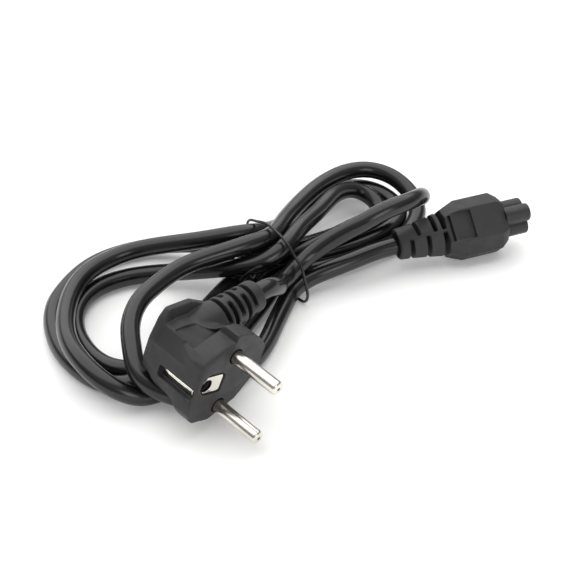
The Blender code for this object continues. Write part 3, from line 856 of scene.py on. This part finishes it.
class LEAD_OT_connector(bpy.types.Operator):
    """Mould the cloverleaf connector's body and its slotted boot"""

    bl_idname = "lead.connector"
    bl_label = "Connector body"

    def execute(self, context):
        along = Matrix.Rotation(math.pi / 2, 4, "Y")
        boot = lofted([(height, oval(high, wide)) for height, high, wide in BOOT_OVALS])
        rear, full = connector_outline(*BODY_REAR_SIZE), connector_outline(*BODY_SIZE)
        body = hulled(
            [(BODY_REAR, y, z) for y, z in rear]
            + [(x, y, z) for x in BODY_FULL for y, z in full]
            + [(BODY_FRONT, FRONT_TAPER[0] * y, FRONT_TAPER[1] * z) for y, z in full]
        )
        cuts = [placed(bar(SOCKET_RADIUS, -1, SOCKET_DEPTH), along)]
        inner, outer, span = BOOT_SLOT
        for height, middle in BOOT_SLOTS:
            slot = ring_slot(inner, outer, height, SLOT_WIDTH, middle, span)
            cuts.append(placed(slot, along))
        top = TOP_SHARE * BODY_SIZE[1]
        above = top + 4
        (start, end), (shallow, deep) = PANEL_ALONG, PANEL_DEPTHS
        panel = [(start, top - shallow), (end, top - deep), (end, above), (start, above)]
        cuts.append(hulled([(x, y, z) for x, z in panel for y in (-PANEL_HALF_WIDTH, PANEL_HALF_WIDTH)]))
        start, end = GROOVE_ALONG
        cuts.append(block((start, -GROOVE_HALF_WIDTH, top - GROOVE_DEPTH), (end, GROOVE_HALF_WIDTH, above)))
        shape = moulded([body, placed(boot, along)], cuts, BODY_VOXEL, 2)
        material = moulding_finish("connector moulding", context.scene.lead_colours.moulding)
        finished("connector_moulding", shape, connector_axes(), material, "black_pvc", "connector_body")
        return {"FINISHED"}


def connector_outline(width, thickness):
    """Section of the connector's body: broad towards the two upper lobes, narrow at the earth side."""
    half, side = width / 2, EARTH_SIDE * width / BODY_SIZE[0]
    low, high = -BELOW_SHARE * thickness, TOP_SHARE * thickness
    slope = high - (half - side)
    return [
        (-half + BODY_CHAMFER, low), (half - BODY_CHAMFER, low), (half, low + BODY_CHAMFER), (half, slope),
        (side, high), (-side, high), (-half, slope), (-half, low + BODY_CHAMFER),
    ]


class LEAD_OT_nose(bpy.types.Operator):
    """Mould the connector's three round lobes with their contact holes"""

    bl_idname = "lead.nose"
    bl_label = "Connector nose"

    def execute(self, context):
        along = Matrix.Rotation(math.pi / 2, 4, "Y")
        solids, cuts = [], []
        for y, z in LOBE_PLACES:
            spot = Matrix.Translation((0, y, z)) @ along
            solids.append(placed(turned(LOBE_PROFILE), spot))
            cuts.append(placed(bar(HOLE_RADIUS, HOLE_FLOOR, 54), spot))
        shape = moulded(solids, cuts, NOSE_VOXEL, 2)
        darker = tinted(context.scene.lead_colours.moulding, 0.9)
        material = moulding_finish("nose moulding", darker, 3400, 0.42)
        finished("cloverleaf_nose", shape, connector_axes(), material, "nose_plastic", "connector_nose")
        return {"FINISHED"}


class LEAD_OT_tie(bpy.types.Operator):
    """Wind the coated wire tie round the middle of the bundle"""

    bl_idname = "lead.tie"
    bl_label = "Wire tie"

    def execute(self, context):
        sizes, colours = context.scene.lead_sizes, context.scene.lead_colours
        # The line runs on a few points past the loop's start and end, so that it closes smoothly
        before, after, steps = 3, 4, 8
        spots = []
        for front, up in TIE_LOOP[-before:] + TIE_LOOP + TIE_LOOP[:after]:
            x, y = (middle + front * way for middle, way in zip(TIE_PLACE, TIE_FRONT))
            spots.append((x, y, up))
        line = laid(spots, steps)[before * steps : -after * steps]
        material = sheath_finish("tie coating", colours.tie)
        tie = curve_piece("coated_tie", line, sizes.tie, material, closed=True, rings=3)
        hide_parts("wire_tie")
        curve_piece("tie_end", laid(TIE_END, steps), sizes.tie, material, rings=3)
        return {"FINISHED"}


# How far the floor reaches, and how much light its paper gives off
FLOOR_REACH = 4.0
FLOOR_GLOW = 0.14

# The room's brightness by how far up a direction points: a white backdrop round the floor, a dark band
# for the mouldings to mirror, and grey overhead
ROOM_LEVELS = ((0.0, 0.95), (0.12, 0.95), (0.18, 0.08), (0.6, 0.5))

# The broad ceiling light, and the soft box in front to the right
CEILING_POWER = 2.85
CEILING_SPREAD = math.radians(95)
CEILING_LEAN = (math.radians(-26), math.radians(-12), 0)
FILL_PLACE = (0.5, -0.8, 0.45)
FILL_SIZE = (0.5, 0.5)
FILL_POWER = 2.2


class LEAD_OT_stage(bpy.types.Operator):
    """Lay the pale floor, and light it with a white room, a broad ceiling light and a soft box"""

    bl_idname = "lead.stage"
    bl_label = "Stage"

    def execute(self, context):
        context.scene.view_settings.view_transform = "Standard"
        lay_floor(context.scene)
        build_room(context.scene)
        ceiling = bpy.data.lights.new("ceiling", "SUN")
        ceiling.energy, ceiling.angle = CEILING_POWER, CEILING_SPREAD
        hung(ceiling).rotation_euler = CEILING_LEAN
        box = bpy.data.lights.new("front_fill", "AREA")
        box.shape = "RECTANGLE"
        box.size, box.size_y = FILL_SIZE
        box.energy = FILL_POWER
        lamp = hung(box)
        lamp.location = FILL_PLACE
        lamp.rotation_euler = (-Vector(FILL_PLACE)).to_track_quat("-Z", "Y").to_euler()
        return {"FINISHED"}


def lay_floor(scene):
    bm = bmesh.new()
    bmesh.ops.create_grid(bm, x_segments=1, y_segments=1, size=FLOOR_REACH)
    mesh = bpy.data.meshes.new("floor")
    bm.to_mesh(mesh)
    bm.free()
    floor = bpy.data.objects.new("floor", mesh)
    scene.collection.objects.link(floor)
    _, shader, material = new_finish("floor paper", scene.lead_colours.floor, 0.9)
    shader.inputs["Specular IOR Level"].default_value = 0.1
    shader.inputs["Emission Color"].default_value = (1, 1, 1, 1)
    shader.inputs["Emission Strength"].default_value = FLOOR_GLOW
    mesh.materials.append(material)


def build_room(scene):
    world = bpy.data.worlds.new("white room")
    world.use_nodes = True
    sky = world.node_tree
    way = sky.nodes.new("ShaderNodeTexCoord")
    parts = sky.nodes.new("ShaderNodeSeparateXYZ")
    room = sky.nodes.new("ShaderNodeValToRGB")
    stops = room.color_ramp.elements
    stops[0].position, stops[1].position = ROOM_LEVELS[0][0], ROOM_LEVELS[-1][0]
    for height, _ in ROOM_LEVELS[1:-1]:
        stops.new(height)
    for stop, (_, white) in zip(stops, ROOM_LEVELS):
        stop.color = (white, white, white, 1)
    sky.links.new(way.outputs["Generated"], parts.inputs["Vector"])
    sky.links.new(parts.outputs["Z"], room.inputs["Fac"])
    sky.links.new(room.outputs["Color"], sky.nodes["Background"].inputs["Color"])
    sky.nodes["Background"].inputs["Strength"].default_value = 1.0
    scene.world = world


def hung(light):
    """The object that hangs a light in the scene, under the light's own name."""
    lamp = bpy.data.objects.new(light.name, light)
    bpy.context.scene.collection.objects.link(lamp)
    return lamp


class LEAD_PT_panel(bpy.types.Panel):
    """Lists the lead's sizes, finishes and pieces"""

    bl_idname = "LEAD_PT_panel"
    bl_label = "Cloverleaf power cord"
    bl_space_type = "VIEW_3D"
    bl_region_type = "UI"
    bl_category = "Lead"

    def draw(self, context):
        layout = self.layout
        for group in (context.scene.lead_sizes, context.scene.lead_colours):
            for name in group.__annotations__:
                layout.prop(group, name)
        for piece in PIECES:
            layout.operator(piece.bl_idname)


PIECES = (
    LEAD_OT_camera, LEAD_OT_cord, LEAD_OT_plug, LEAD_OT_pins, LEAD_OT_earth,
    LEAD_OT_connector, LEAD_OT_nose, LEAD_OT_tie, LEAD_OT_stage,
)
CLASSES = (LeadSizes, LeadColours, *PIECES, LEAD_PT_panel)


def register():
    for item in CLASSES:
        bpy.utils.register_class(item)
    bpy.types.Scene.lead_sizes = PointerProperty(type=LeadSizes)
    bpy.types.Scene.lead_colours = PointerProperty(type=LeadColours)


def unregister():
    del bpy.types.Scene.lead_colours
    del bpy.types.Scene.lead_sizes
    for item in reversed(CLASSES):
        bpy.utils.unregister_class(item)


def main():
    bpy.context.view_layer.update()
    register()
    bpy.ops.lead.camera()
    bpy.ops.lead.cord()
    bpy.ops.lead.plug()
    bpy.ops.lead.pins()
    bpy.ops.lead.earth()
    bpy.ops.lead.connector()
    bpy.ops.lead.nose()
    bpy.ops.lead.tie()
    bpy.ops.lead.stage()
    bpy.context.view_layer.update()


if __name__ == "__main__":
    main()
